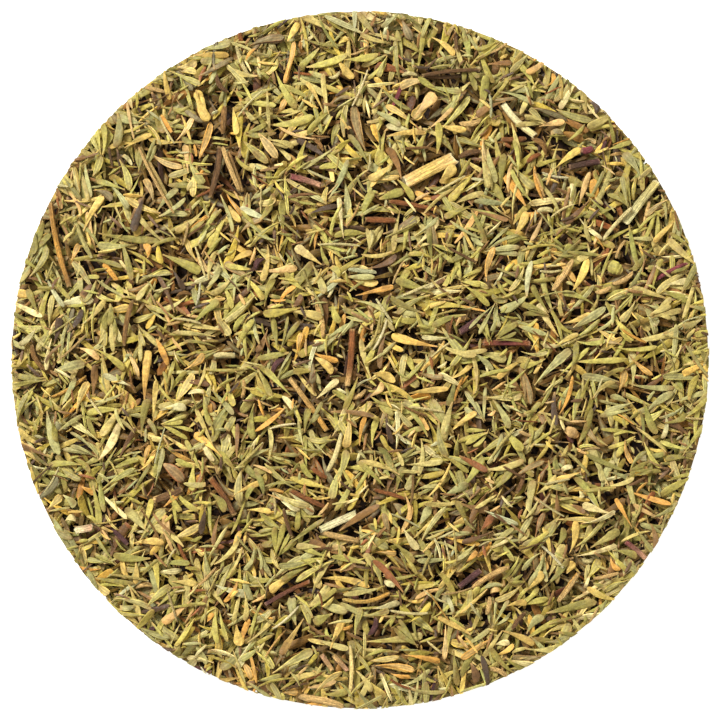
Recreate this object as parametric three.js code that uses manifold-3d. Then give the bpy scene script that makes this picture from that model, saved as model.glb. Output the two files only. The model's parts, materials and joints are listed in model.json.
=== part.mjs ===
// A level round bed of dried thyme leaves, with loose stems, chips and single leaves on it
import * as THREE from "three";
import Module from "manifold-3d";
import { mergeVertices } from "three/addons/utils/BufferGeometryUtils.js";

const wasm = await Module();
wasm.setup();

// Driving dimensions of the bed, in millimetres
const BED_RADIUS = 60;
const BED_HEIGHT = 12;
const CORE_RADIUS = 58.8;
const CORE_TOP = 9.7;
const SHOULDER_RADIUS = 1.6;
const ROUND_SIDES = 72;
const GAP = 0.35;

// Bed leaves, larger than life, in millimetres and degrees
const TOP_LEAVES = 162;
const FLANK_ROWS = [
  { height: 2.7, leaves: 15 },
  { height: 7.1, leaves: 15 },
];
const LEAF_LENGTH = 16;
const LEAF_WIDTH = 5.3;
const LEAF_RIDGE = 1.15;
const LEAF_ARCH = 0.5;
const LEAF_PITCH = 6;
const LEAF_ROLL = 8;
const TOP_LEAF_LIFT = 0.25;
const TOP_LEAF_SPREAD = 57.5;
const MIDRIB_SHARES = [-0.45, -0.25, 0, 0.25, 0.45];
const YAW_DRAWS = 4;
const BED_SEED = 6;
const FLANK_SINK = 0.65;

// Loose pieces lie above the core on this level
const LOOSE_LEVEL = CORE_TOP + 0.1 + GAP;

// The disc of leaves in the photograph, in its pixels
const PHOTO = { centreX: 359.5, centreY: 359.5, radius: 348.2 };

// A leaf's half-width along its length, from petiole to tip, as a share of the widest
const BED_LEAF_OUTLINE = [
  { along: 0.22, half: 0.52 },
  { along: 0.58, half: 1 },
  { along: 0.86, half: 0.66 },
];
const FINE_LEAF_OUTLINE = [
  { along: 0.1, half: 0.2 },
  { along: 0.28, half: 0.42 },
  { along: 0.46, half: 0.84 },
  { along: 0.64, half: 1 },
  { along: 0.82, half: 0.8 },
  { along: 0.94, half: 0.42 },
];

// Loose pieces: ends as pixels of the photograph, the rest in millimetres
// bow is how far the middle stands to the left of the straight line between the ends
const STEMS = [
  { name: "brown_stem_01", from: [50, 202], to: [69, 286], width: 0.9, bow: -0.5 },
  { name: "brown_stem_02", from: [219, 147], to: [210, 197], width: 0.9, bow: 0.2 },
  { name: "brown_stem_03", from: [228, 152], to: [241, 191], width: 0.9, bow: 0 },
  { name: "brown_stem_04", from: [139, 147], to: [174, 213], width: 0.7, bow: 0.3 },
  { name: "brown_stem_05", from: [422, 75], to: [479, 70], width: 0.7, bow: -0.7 },
  { name: "brown_stem_06", from: [365, 219], to: [395, 220], width: 0.9, bow: 0.1 },
  { name: "brown_stem_07", from: [352, 329], to: [347, 385], width: 1.05, bow: 0.2 },
  { name: "brown_stem_08", from: [289, 378], to: [326, 430], width: 0.9, bow: 0.15 },
  { name: "brown_stem_09", from: [210, 478], to: [234, 514], width: 1.05, bow: 0.2 },
  { name: "brown_stem_10", from: [153, 500], to: [182, 489], width: 1.2, bow: 0 },
  { name: "brown_stem_11", from: [343, 599], to: [388, 593], width: 0.7, bow: -0.9 },
  { name: "brown_stem_12", from: [321, 654], to: [332, 670], width: 0.85, bow: 0 },
  { name: "brown_stem_13", from: [333, 655], to: [347, 670], width: 0.85, bow: 0 },
  { name: "brown_stem_14", from: [558, 601], to: [578, 573], width: 0.75, bow: 0.1 },
  { name: "purple_stem_01", from: [459, 332], to: [480, 318], width: 1.2, bow: 0 },
  { name: "purple_stem_02", from: [290, 176], to: [320, 185], width: 1.05, bow: 0.1 },
  { name: "purple_stem_03", from: [265, 604], to: [309, 581], width: 0.75, bow: 0.2 },
  { name: "purple_stem_04", from: [459, 586], to: [480, 570], width: 1.05, bow: 0 },
  { name: "purple_stem_05", from: [625, 541], to: [645, 558], width: 0.9, bow: 0.1 },
  { name: "purple_stem_06", from: [569, 167], to: [599, 161], width: 1.05, bow: 0.1 },
  { name: "purple_stem_07", from: [483, 343], to: [529, 343], width: 1.0, bow: 0.15 },
];
const CHIPS = [
  { name: "straw_chip_01", from: [405, 182], to: [453, 158], width: 2.2, bow: 0.1 },
  { name: "straw_chip_02", from: [320, 529], to: [356, 513], width: 1.25, bow: 0 },
  { name: "straw_chip_03", from: [75, 530], to: [92, 527], width: 1.2, bow: 0 },
  { name: "straw_chip_04", from: [625, 222], to: [656, 182], width: 1.4, bow: 0.1 },
  { name: "straw_chip_05", from: [214, 355], to: [234, 355], width: 0.9, bow: 0 },
  { name: "straw_chip_06", from: [503, 104], to: [534, 135], width: 1.1, bow: -0.4 },
];
const LEAVES = [
  { name: "golden_leaf_01", from: [144, 404], to: [148, 350], width: 1.75, bow: 0.2 },
  { name: "golden_leaf_02", from: [355, 295], to: [393, 286], width: 1.25, bow: 0 },
  { name: "golden_leaf_03", from: [437, 346], to: [391, 335], width: 1.9, bow: 0.2 },
  { name: "golden_leaf_04", from: [321, 264], to: [295, 246], width: 1.9, bow: 0 },
  { name: "golden_leaf_05", from: [558, 336], to: [538, 303], width: 1.6, bow: 0.2 },
  { name: "golden_leaf_06", from: [631, 526], to: [615, 498], width: 1.1, bow: 0 },
  { name: "golden_leaf_07", from: [208, 121], to: [196, 90], width: 2.05, bow: 0 },
  { name: "golden_leaf_08", from: [434, 93], to: [413, 118], width: 2.3, bow: 0 },
  { name: "golden_leaf_09", from: [375, 665], to: [414, 670], width: 1.4, bow: 0.1 },
  { name: "golden_leaf_10", from: [303, 618], to: [280, 654], width: 1.6, bow: 0 },
  { name: "golden_leaf_11", from: [294, 41], to: [284, 83], width: 1.1, bow: 0.1 },
  { name: "brown_leaf_01", from: [365, 150], to: [353, 106], width: 1.8, bow: 0.1 },
  { name: "brown_leaf_02", from: [162, 463], to: [184, 480], width: 2.2, bow: 0 },
  { name: "brown_leaf_03", from: [480, 531], to: [492, 515], width: 1.7, bow: 0 },
  { name: "brown_leaf_04", from: [249, 46], to: [284, 37], width: 1.5, bow: 0.2 },
  { name: "green_leaf_01", from: [162, 254], to: [200, 271], width: 2.1, bow: 0.1 },
  { name: "green_leaf_02", from: [534, 385], to: [570, 349], width: 1.9, bow: 0.2 },
  { name: "green_leaf_03", from: [332, 613], to: [313, 622], width: 2.2, bow: 0 },
  { name: "green_leaf_04", from: [272, 673], to: [312, 650], width: 1.9, bow: 0.1 },
  { name: "green_leaf_05", from: [365, 641], to: [422, 635], width: 1.8, bow: -0.2 },
  { name: "green_leaf_06", from: [590, 547], to: [619, 530], width: 1.9, bow: 0 },
  { name: "tan_flake_01", from: [565, 428], to: [578, 436], width: 2.2, bow: 0 },
  { name: "green_flake_01", from: [606, 263], to: [622, 271], width: 2.6, bow: 0 },
];
const STEM_SIDES = 7;
const STEM_STEPS = 4;
const CHIP_STEPS = 4;
const CHIP_THICKNESS = 0.8;
const LOOSE_LEAF_THICKNESS = 0.8;
const LOOSE_LEAF_ARCH = 0.3;

// Colours read by eye from the photograph
const COLOURS = {
  leaf_green: "#8d8a4b",
  leaf_golden: "#c2974a",
  leaf_brown: "#6f4a30",
  stem_brown: "#8a5a3a",
  stem_purple: "#5d2c36",
  straw: "#cfc08c",
};

// Seeded random numbers from 0 to 1
function randomSource(seed) {
  let state = seed;
  return () => {
    state = (state + 0x6d2b79f5) | 0;
    let mixed = Math.imul(state ^ (state >>> 15), 1 | state);
    mixed = (mixed + Math.imul(mixed ^ (mixed >>> 7), 61 | mixed)) ^ mixed;
    return ((mixed ^ (mixed >>> 14)) >>> 0) / 4294967296;
  };
}

// A closed geometry as a solid that can be joined and cut
function toSolid(geometry) {
  const bare = geometry.clone();
  bare.deleteAttribute("normal");
  bare.deleteAttribute("uv");
  const merged = mergeVertices(bare, 1e-4);
  return new wasm.Manifold(
    new wasm.Mesh({
      numProp: 3,
      vertProperties: merged.attributes.position.array,
      triVerts: merged.index.array,
    }),
  );
}

// A solid back as a geometry
function toGeometry(solid) {
  const mesh = solid.getMesh();
  const geometry = new THREE.BufferGeometry();
  geometry.setAttribute("position", new THREE.BufferAttribute(mesh.vertProperties, 3));
  geometry.setIndex(new THREE.BufferAttribute(mesh.triVerts, 1));
  geometry.computeVertexNormals();
  return geometry;
}

// A closed leaf blade along X: flat below, ridged above, arched along its length
function bladeGeometry({ length, width, thickness, arch, bow, outline }) {
  const lift = (along) => 1 - (2 * along - 1) ** 2;
  const points = [[-length / 2, 0, thickness * 0.4]];
  for (const { along, half } of outline) {
    const x = (along - 0.5) * length;
    const side = bow * lift(along);
    const bottom = arch * lift(along);
    const reach = (half * width) / 2;
    points.push([x, side + reach, bottom]);
    points.push([x, side, bottom + thickness]);
    points.push([x, side - reach, bottom]);
  }
  points.push([length / 2, 0, thickness * 0.4]);
  const last = points.length - 1;
  const triangles = [];
  for (const [near, far] of [[0, 1], [1, 2], [2, 0]]) {
    triangles.push(0, 1 + far, 1 + near);
    for (let row = 1; row + 3 < last; row += 3) {
      triangles.push(row + near, row + far, row + 3 + far);
      triangles.push(row + near, row + 3 + far, row + 3 + near);
    }
    triangles.push(last - 3 + near, last - 3 + far, last);
  }
  const geometry = new THREE.BufferGeometry();
  geometry.setAttribute("position", new THREE.Float32BufferAttribute(points.flat(), 3));
  geometry.setIndex(triangles);
  return geometry;
}

// The bed's core: a low drum with a rounded shoulder
function coreGeometry() {
  const shoulder = new THREE.Path();
  shoulder.moveTo(0, 0);
  shoulder.lineTo(CORE_RADIUS, 0);
  shoulder.lineTo(CORE_RADIUS, CORE_TOP - SHOULDER_RADIUS);
  shoulder.absarc(CORE_RADIUS - SHOULDER_RADIUS, CORE_TOP - SHOULDER_RADIUS, SHOULDER_RADIUS, 0, Math.PI / 2);
  shoulder.lineTo(0, CORE_TOP);
  return new THREE.LatheGeometry(shoulder.getPoints(3), ROUND_SIDES).rotateX(Math.PI / 2);
}

// The drum that the bed's leaves are trimmed to
function trimGeometry() {
  const profile = [
    new THREE.Vector2(0, 0),
    new THREE.Vector2(BED_RADIUS, 0),
    new THREE.Vector2(BED_RADIUS, BED_HEIGHT),
    new THREE.Vector2(0, BED_HEIGHT),
  ];
  return new THREE.LatheGeometry(profile, ROUND_SIDES).rotateX(Math.PI / 2);
}

// A bed leaf of a slightly varied size
function bedLeaf(random) {
  const size = 0.86 + 0.28 * random();
  return bladeGeometry({
    length: LEAF_LENGTH * size,
    width: LEAF_WIDTH * (0.9 + 0.2 * random()),
    thickness: LEAF_RIDGE,
    arch: LEAF_ARCH,
    bow: 0.8 * (random() - 0.5),
    outline: BED_LEAF_OUTLINE,
  });
}

// Points along a top leaf's midrib, as seen from above
function midribPoints(centre, yaw) {
  const direction = new THREE.Vector2(Math.cos(yaw), Math.sin(yaw));
  return MIDRIB_SHARES.map((share) => centre.clone().addScaledVector(direction, share * LEAF_LENGTH));
}

// Of several random turns, the one that leaves most room to the leaves already laid
function roomiestYaw(centre, laid, random) {
  let best = { yaw: 0, room: -1 };
  for (let draw = 0; draw < YAW_DRAWS; draw += 1) {
    const yaw = 2 * Math.PI * random();
    const points = midribPoints(centre, yaw);
    const rooms = laid.flatMap((other) => points.map((point) => point.distanceTo(other)));
    const room = rooms.length ? Math.min(...rooms) : BED_RADIUS;
    if (room > best.room) best = { yaw, room };
  }
  return best.yaw;
}

// Leaves over the top, on a sunflower spiral, petioles sunk in the core and tips raised
function topLeaves(random) {
  const goldenAngle = Math.PI * (3 - Math.sqrt(5));
  const leaves = [];
  const laid = [];
  for (let index = 0; index < TOP_LEAVES; index += 1) {
    const radius = TOP_LEAF_SPREAD * Math.sqrt((index + 0.5) / TOP_LEAVES);
    const angle = index * goldenAngle;
    const centre = new THREE.Vector2(
      radius * Math.cos(angle) + 2 * (random() - 0.5),
      radius * Math.sin(angle) + 2 * (random() - 0.5),
    );
    const yaw = roomiestYaw(centre, laid, random);
    laid.push(...midribPoints(centre, yaw));
    const leaf = bedLeaf(random);
    leaf.rotateX(THREE.MathUtils.degToRad(LEAF_ROLL * (2 * random() - 1)));
    leaf.rotateY(THREE.MathUtils.degToRad(-LEAF_PITCH * (0.7 + 0.6 * random())));
    leaf.rotateZ(yaw);
    leaf.translate(centre.x, centre.y, CORE_TOP + TOP_LEAF_LIFT);
    leaves.push(leaf);
  }
  return leaves;
}

// Leaves round the side, lying against the core's wall
function flankLeaves(random) {
  const leaves = [];
  for (const row of FLANK_ROWS) {
    for (let index = 0; index < row.leaves; index += 1) {
      const angle = (2 * Math.PI * (index + 0.5 * random())) / row.leaves;
      const leaf = bedLeaf(random);
      leaf.rotateZ(THREE.MathUtils.degToRad(40 * (2 * random() - 1)) + Math.PI * Math.round(random()));
      leaf.rotateX(THREE.MathUtils.degToRad(90));
      leaf.rotateZ(Math.PI / 2);
      leaf.translate(CORE_RADIUS - FLANK_SINK, 0, row.height + 1.2 * (random() - 0.5));
      leaf.rotateZ(angle);
      leaves.push(leaf);
    }
  }
  return leaves;
}

// A loose piece's place on the bed: its ends, length, turn and centre line
function placeOf({ from, to, bow }) {
  const scale = BED_RADIUS / PHOTO.radius;
  const start = new THREE.Vector2((from[0] - PHOTO.centreX) * scale, (PHOTO.centreY - from[1]) * scale);
  const end = new THREE.Vector2((to[0] - PHOTO.centreX) * scale, (PHOTO.centreY - to[1]) * scale);
  const along = end.clone().sub(start);
  const middle = start.clone().add(end).multiplyScalar(0.5);
  const left = new THREE.Vector2(-along.y, along.x).normalize();
  const control = middle.clone().addScaledVector(left, 2 * bow);
  return {
    middle,
    length: along.length(),
    turn: along.angle(),
    line: new THREE.QuadraticBezierCurve(start, control, end),
  };
}

// The outline of a band along a centre line, its ends running past it
function bandShape(line, halfWidth, endReach, samples) {
  const left = [];
  const right = [];
  for (let index = 0; index <= samples; index += 1) {
    const point = line.getPoint(index / samples);
    const tangent = line.getTangent(index / samples);
    const normal = new THREE.Vector2(-tangent.y, tangent.x);
    if (index === 0) point.addScaledVector(tangent, -endReach);
    if (index === samples) point.addScaledVector(tangent, endReach);
    left.push(point.clone().addScaledVector(normal, halfWidth));
    right.push(point.clone().addScaledVector(normal, -halfWidth));
  }
  return new THREE.Shape([...right, ...left.reverse()]);
}

// The trench that keeps bed leaves clear of a loose piece
function trenchGeometry(piece) {
  const { line } = placeOf(piece);
  const samples = Math.abs(piece.bow) > 0.12 ? 3 : 1;
  const shape = bandShape(line, piece.width / 2 + GAP, GAP, samples);
  const trench = new THREE.ExtrudeGeometry(shape, { depth: BED_HEIGHT, bevelEnabled: false });
  trench.translate(0, 0, LOOSE_LEVEL - GAP);
  return trench;
}

// A loose stem: a many-sided rod along its bowed centre line
function stemGeometry(piece) {
  const { line } = placeOf(piece);
  const height = LOOSE_LEVEL + piece.width / 2;
  const raise = (point) => new THREE.Vector3(point.x, point.y, height);
  const path = new THREE.QuadraticBezierCurve3(raise(line.v0), raise(line.v1), raise(line.v2));
  const circle = new THREE.EllipseCurve(0, 0, piece.width / 2, piece.width / 2);
  const section = new THREE.Shape(circle.getPoints(STEM_SIDES).slice(0, STEM_SIDES));
  return new THREE.ExtrudeGeometry(section, {
    steps: STEM_STEPS,
    bevelEnabled: false,
    extrudePath: path,
  });
}

// A loose chip: a flat band of constant thickness
function chipGeometry(piece) {
  const { line } = placeOf(piece);
  const shape = bandShape(line, piece.width / 2, 0, CHIP_STEPS);
  const chip = new THREE.ExtrudeGeometry(shape, { depth: CHIP_THICKNESS, bevelEnabled: false });
  chip.translate(0, 0, LOOSE_LEVEL);
  return chip;
}

// A loose leaf at its true size, from petiole to tip
function looseLeafGeometry(piece) {
  const { middle, length, turn } = placeOf(piece);
  const leaf = bladeGeometry({
    length,
    width: piece.width,
    thickness: LOOSE_LEAF_THICKNESS,
    arch: LOOSE_LEAF_ARCH,
    bow: piece.bow,
    outline: FINE_LEAF_OUTLINE,
  });
  leaf.rotateZ(turn);
  leaf.translate(middle.x, middle.y, LOOSE_LEVEL);
  return leaf;
}

// The whole bed as one solid: core and leaves joined, trimmed, and trenched for the loose pieces
function bedGeometry() {
  const random = randomSource(BED_SEED);
  let bed = toSolid(coreGeometry());
  for (const leaf of [...topLeaves(random), ...flankLeaves(random)]) {
    bed = bed.add(toSolid(leaf));
  }
  bed = bed.intersect(toSolid(trimGeometry()));
  for (const piece of [...STEMS, ...CHIPS, ...LEAVES]) {
    bed = bed.subtract(toSolid(trenchGeometry(piece)));
  }
  const bodies = bed.decompose().sort((one, other) => other.volume() - one.volume());
  return toGeometry(bodies[0]);
}

// A named mesh with a matte material of its own
function part(name, geometry, colour) {
  const material = new THREE.MeshStandardMaterial({ color: colour, roughness: 0.85, metalness: 0 });
  const mesh = new THREE.Mesh(geometry, material);
  mesh.name = name;
  return mesh;
}

// The material slot that a loose leaf or flake takes from its name
function leafColour(name) {
  if (name.startsWith("green")) return COLOURS.leaf_green;
  return name.startsWith("brown") ? COLOURS.leaf_brown : COLOURS.leaf_golden;
}

const group = new THREE.Group();
group.add(part("leaf_bed", bedGeometry(), COLOURS.leaf_green));
for (const piece of STEMS) {
  const colour = piece.name.startsWith("purple") ? COLOURS.stem_purple : COLOURS.stem_brown;
  group.add(part(piece.name, stemGeometry(piece), colour));
}
for (const piece of CHIPS) {
  group.add(part(piece.name, chipGeometry(piece), COLOURS.straw));
}
for (const piece of LEAVES) {
  group.add(part(piece.name, looseLeafGeometry(piece), leafColour(piece.name)));
}

export default group;
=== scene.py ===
import json
import math

import bpy
import numpy as np
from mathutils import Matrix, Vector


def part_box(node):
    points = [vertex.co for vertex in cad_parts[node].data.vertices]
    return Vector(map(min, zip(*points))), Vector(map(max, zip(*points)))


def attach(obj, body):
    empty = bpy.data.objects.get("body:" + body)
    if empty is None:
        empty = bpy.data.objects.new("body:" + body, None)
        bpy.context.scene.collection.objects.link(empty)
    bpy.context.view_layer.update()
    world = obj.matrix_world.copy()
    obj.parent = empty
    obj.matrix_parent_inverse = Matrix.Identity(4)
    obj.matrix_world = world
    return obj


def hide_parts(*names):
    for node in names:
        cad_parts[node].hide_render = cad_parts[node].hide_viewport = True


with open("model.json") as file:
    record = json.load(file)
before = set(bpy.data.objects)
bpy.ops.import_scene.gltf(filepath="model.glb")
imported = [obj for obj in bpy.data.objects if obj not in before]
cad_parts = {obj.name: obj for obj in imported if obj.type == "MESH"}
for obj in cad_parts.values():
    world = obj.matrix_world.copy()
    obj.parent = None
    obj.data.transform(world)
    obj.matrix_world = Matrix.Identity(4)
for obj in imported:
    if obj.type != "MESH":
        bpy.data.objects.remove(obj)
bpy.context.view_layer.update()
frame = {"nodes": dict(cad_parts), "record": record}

# Lengths are in millimetres unless a name says otherwise
MM = 0.001

# The bed's radius and, from the solids, its top and the lowest level of the loose pieces
BED_RADIUS = 60.0
bed_vertices = np.array([vertex.co for vertex in frame["nodes"]["leaf_bed"].data.vertices]) / MM
BED_TOP = float(bed_vertices[:, 2].max())
LOOSE_LEVEL = float(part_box("brown_stem_01")[0][2]) / MM

# The disc of leaves in the photograph, in its pixels, and the frame's width
DISC_CENTRE_PX = 359.5
DISC_RADIUS_PX = 348.2
FRAME_PX = 720
MM_PER_PX = BED_RADIUS / DISC_RADIUS_PX

# The heart of the bed, under the leaves that can be seen, coloured dark with painted shade, with a collar of
# dust that fills the edge
CORE_RADIUS = 58.2
CORE_BOTTOM = 1.5
CORE_TOP = 7.2
COLLAR_RADIUS = 59.6
COLLAR_BOTTOM = 8.4
COLLAR_TOP = 9.0

# Leaves settle on the heart within this radius, and past it they lie as deep as the floor
SETTLED_RADIUS = 53.0

# The pile is laid past the edge before it is cut round, so that it is as full there as inside
LAID_RADIUS = BED_RADIUS + 6.0
CRUMBED_RADIUS = BED_RADIUS + 1.0

# The leaves that close the edge's upper corner lie between these radii
RIM_INNER = BED_RADIUS - 3.0
RIM_OUTER = BED_RADIUS + 1.5

# The wall leans out by this part of its depth below the top, down to where it stands upright
WALL_LEAN = 0.175
UPRIGHT_LEVEL = 6.0

# Levels that the pile is filled to, on average, from the floor up
FLOOR_LEVEL = 1.7
WALL_LEVEL = 8.8
BODY_LEVEL = 9.0
BEDDING_LEVEL = 9.7
TOP_LEVEL = 10.55
RIM_LEVEL = 10.9
CLEARANCE = 0.05
TOP_LIMIT = BED_TOP - CLEARANCE

# Painted shade: how much darker and browner the leaves that lie deep are coloured, for the shadow among the
# leaves above them
DEEP_PAINTED_SHADE = np.array([0.36, 0.22, 0.08])
BEDDING_PAINTED_SHADE = np.array([1.0, 0.9, 0.6])

# Painted shade: how much darker the leaf dust is coloured inside the bed than on its underside, for the deep
# shadow in the gaps
DUST_PAINTED_SHADE = np.array([0.13, 0.08, 0.05])

# Painted shade: how much darker the leaves that close the edge and its wall are coloured, against the light
# that the bright floor and the surround throw on the edge
RIM_PAINTED_SHADE = np.array([0.72, 0.7, 0.62])

# The lamp, the light from all round and the floor, in metres
KEY_ENERGY = 9.0
KEY_PLACE = (-0.36, 0.4, 0.56)
KEY_SIZE = 0.26
WORLD_STRENGTH = 0.66
WORLD_COLOUR = (1, 0.92, 0.74, 1)
FLOOR_HALF_SIDE = 1.5
FLOOR_HEIGHT = -0.0002

# Single leaves by form: each entry is the range that a leaf's value is drawn from
# curl is the angle in radians that each margin rolls down through
# taper is how slowly a blade widens from its stalk, and blunt how round its tip is: less is rounder
# start and end are the shares of the whole leaf's length where the piece begins and stops
LEAF_FORMS = {
    "broad": dict(length=(4.6, 7.8), width=(1.3, 1.8), thick=(0.18, 0.24), curl=(0.2, 1.0),
                  taper=(1.1, 2.2), blunt=(0.28, 0.45), start=(0.0, 0.08), end=(1.0, 1.0)),
    "common": dict(length=(4.4, 7.8), width=(0.9, 1.35), thick=(0.18, 0.26), curl=(0.35, 1.4),
                   taper=(0.9, 1.9), blunt=(0.3, 0.55), start=(0.0, 0.08), end=(1.0, 1.0)),
    "rolled": dict(length=(3.8, 7.8), width=(0.45, 0.8), thick=(0.16, 0.24), curl=(1.2, 2.3),
                   taper=(0.5, 1.1), blunt=(0.3, 0.6), start=(0.02, 0.15), end=(1.0, 1.0)),
    "scrap": dict(length=(4.0, 6.5), width=(0.8, 1.4), thick=(0.16, 0.24), curl=(0.3, 1.0),
                  taper=(0.9, 1.3), blunt=(0.3, 0.6), start=(0.35, 0.6), end=(1.0, 1.0)),
}
FORM_SHARES = {"broad": 0.2, "common": 0.47, "rolled": 0.28, "scrap": 0.05}
LEAF_BENDS = dict(arch=(-0.3, 0.5), bow=(-0.5, 0.5), sway=(-0.15, 0.15), twist=(-0.8, 0.8),
                  ragged=(0.0, 0.1), phase=(0.0, 6.28), crumple=(0.03, 0.08))
UPTURNED_SHARE = 0.3

# Stem bits, fibres and crumbs by form, in the same way. flat is a section's height over its width
ROD_FORMS = {
    "stem": dict(length=(3.5, 9.0), width=(0.55, 1.0), bend=(-0.5, 0.5), rough=(0.05, 0.14),
                 flat=(0.7, 1.0)),
    "fibre": dict(length=(2.5, 7.0), width=(0.28, 0.5), bend=(-0.3, 0.3), rough=(0.03, 0.08),
                  flat=(0.6, 1.0)),
    "crumb": dict(length=(1.2, 3.4), width=(0.25, 0.6), bend=(-0.15, 0.15), rough=(0.08, 0.2),
                  flat=(0.4, 0.8)),
}
ROD_BENDS = dict(arch=(-0.1, 0.25), phase=(0.0, 6.28))

# How many of each are laid
LEAVES_AT_ONCE = 200
TUFTS = 45
STEMS = 70
FIBRES = 220
DEEP_CRUMBS = 1600
CRUMBS = 600

# Screen colours in full light, of pieces and at the end of what is on and between them
COLOURS = {
    "green": (157, 147, 68),
    "olive": (136, 126, 58),
    "lime": (178, 166, 80),
    "khaki": (182, 165, 95),
    "sage": (164, 158, 98),
    "mint": (188, 182, 132),
    "gold": (203, 172, 90),
    "yellow": (211, 183, 92),
    "pale": (215, 198, 136),
    "cream": (224, 211, 164),
    "orange": (204, 151, 68),
    "tan": (200, 164, 103),
    "pink": (190, 145, 112),
    "umber": (134, 98, 52),
    "rust": (138, 84, 42),
    "brown": (104, 74, 42),
    "dark": (74, 54, 34),
    "plum": (86, 54, 52),
    "crimson": (128, 62, 66),
    "felt": (176, 170, 118),
    "stain": (126, 90, 44),
    "stalk": (184, 146, 86),
    "dark_dust": (52, 40, 18),
    "light_dust": (124, 94, 46),
}

# The share of each colour among a slot's random pieces
PALETTE = {
    "leaf_green": {"green": 0.22, "olive": 0.16, "lime": 0.18, "khaki": 0.22, "sage": 0.14, "mint": 0.03,
                   "pale": 0.05},
    "leaf_golden": {"gold": 0.46, "yellow": 0.16, "orange": 0.08, "tan": 0.3},
    "leaf_brown": {"umber": 0.4, "rust": 0.12, "brown": 0.28, "dark": 0.2},
    "stem_brown": {"tan": 0.34, "orange": 0.1, "rust": 0.16, "umber": 0.2, "brown": 0.2},
    "stem_purple": {"plum": 0.8, "crimson": 0.2},
    "straw": {"pale": 0.4, "cream": 0.1, "mint": 0.05, "khaki": 0.45},
}
LEAF_SLOTS = {"leaf_green": 0.83, "leaf_golden": 0.09, "leaf_brown": 0.08}
ROD_SLOTS = {
    "stem": {"stem_brown": 0.6, "stem_purple": 0.16, "straw": 0.24},
    "fibre": {"straw": 0.6, "stem_brown": 0.4},
    "crumb": {"leaf_green": 0.62, "leaf_golden": 0.14, "leaf_brown": 0.24},
}

# Rings of a blade: the place across it from -1 to 1, and 1 above, -1 below or 0 on the margin
FINE_RING = np.array([
    (1, 0), (0.82, 1), (0.5, 1), (0, 1), (-0.5, 1), (-0.82, 1), (-1, 0), (-0.6, -1), (0, -1), (0.6, -1),
])
PLAIN_RING = np.array([(1, 0), (0.6, 1), (0, 1), (-0.6, 1), (-1, 0), (0, -1)])

# The shares of its length where a piece's rings are, closer together towards a leaf's round tip
FINE_SHARES = 1 - (1 - np.linspace(0, 1, 11)) ** 1.4
PLAIN_SHARES = 1 - (1 - np.linspace(0, 1, 7)) ** 1.4
ROD_SHARES = np.array([0, 0.06, 0.2, 0.4, 0.6, 0.8, 0.94, 1])
CRUMB_SHARES = np.linspace(0, 1, 4)

# The grid that holds the pile's height, and the slopes that a settling piece may take
CELL = 0.3
GRID_REACH = LAID_RADIUS + 6.0
SLOPES = np.array([(along, across) for along in np.linspace(-0.45, 0.45, 9)
                   for across in np.linspace(-0.5, 0.5, 7)])
SLOPES_TRIED = 9
SINK = 0.06

# A piece isn't laid where more than this part of it would hide a place to keep clear
MOST_BLOCKED = 0.08

# A piece at the edge is left out where less than this part of it is inside
LEAST_INSIDE = 0.06

# More than any height, and than any number of steps along a piece
FAR = 99.0

# Edges bent by more than this are drawn sharp
SHARP_ANGLE = math.radians(55)

# The sides of the squares that the layers are split into
GREEN_TILE = 40.0
OTHER_TILE = 60.0

rng = np.random.default_rng(22)


def linear(colour):
    """A screen colour from 0 to 255 as linear light."""
    share = np.asarray(colour, float) / 255
    return np.where(share <= 0.04045, share / 12.92, ((share + 0.055) / 1.055) ** 2.4)


def tone(name):
    """A named colour in linear light."""
    return linear(COLOURS[name])


def towards(angle):
    """Unit vectors at angles from X."""
    return np.stack([np.cos(angle), np.sin(angle)], -1)


def round_angles(sides):
    """So many angles in even steps round a section."""
    return np.arange(sides) * 2 * np.pi / sides


def draw(ranges, count):
    """One array of random values for each named range."""
    return {name: rng.uniform(low, high, count) for name, (low, high) in ranges.items()}


def joined(parts):
    """Dictionaries of arrays with the same names, end to end."""
    return {name: np.concatenate([part[name] for part in parts]) for name in parts[0]}


def picked(fields, chosen):
    """The same dictionary of arrays with only the chosen entries."""
    return {name: values[chosen] for name, values in fields.items()}


def values_of(fields, names):
    """The named values of each piece, shaped to meet the points along it and round it."""
    return [fields[name][:, None, None] for name in names.split()]


def tints(slot, count):
    """A colour for each piece: one of the slot's palette, lightened, darkened and warmed a little."""
    colours = np.array([tone(name) for name in PALETTE[slot]])
    shares = np.array(list(PALETTE[slot].values()))
    chosen = colours[rng.choice(len(colours), count, p=shares / shares.sum())]
    light = rng.normal(1.0, 0.1, (count, 1)).clip(0.6, 1.4)
    warmth = rng.normal(0.0, 0.05, (count, 1)) * np.array([1.0, 0.1, -1.2])
    return (chosen * light * (1 + warmth)).clip(0.004, 0.95)


def leaf_fields(form, slot, count):
    """Shape values, colours and the slot of so many leaves of one form."""
    fields = draw({**LEAF_FORMS[form], **LEAF_BENDS}, count)
    fields["over"] = np.where(rng.random(count) < UPTURNED_SHARE, -1.0, 1.0)
    fields["tint"] = tints(slot, count)
    fields["slot"] = np.full(count, slot)
    return fields


def rod_fields(form, slot, count):
    """The same of so many stem bits, fibres or crumbs."""
    fields = draw({**ROD_FORMS[form], **ROD_BENDS}, count)
    fields["tint"] = tints(slot, count)
    fields["slot"] = np.full(count, slot)
    return fields


def shuffled(parts):
    """Pieces of several forms and slots in random order."""
    fields = joined(parts)
    return picked(fields, rng.permutation(len(fields["slot"])))


def outline(fields, share):
    """A leaf's half-width at a share of its length, as a part of its widest half."""
    taper, blunt, ragged, phase = values_of(fields, "taper blunt ragged phase")
    widest = taper / (taper + blunt)
    most = widest ** taper * (1 - widest) ** blunt
    stalk = 0.14
    body = share.clip(0, 1) ** taper * (1 - share).clip(0, 1) ** blunt / most
    wave = 1 + ragged * np.sin(19 * share + phase) * np.sin(7 * share)
    return (stalk * (1 - 0.5 * share) + (1 - stalk) * body) * wave


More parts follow.
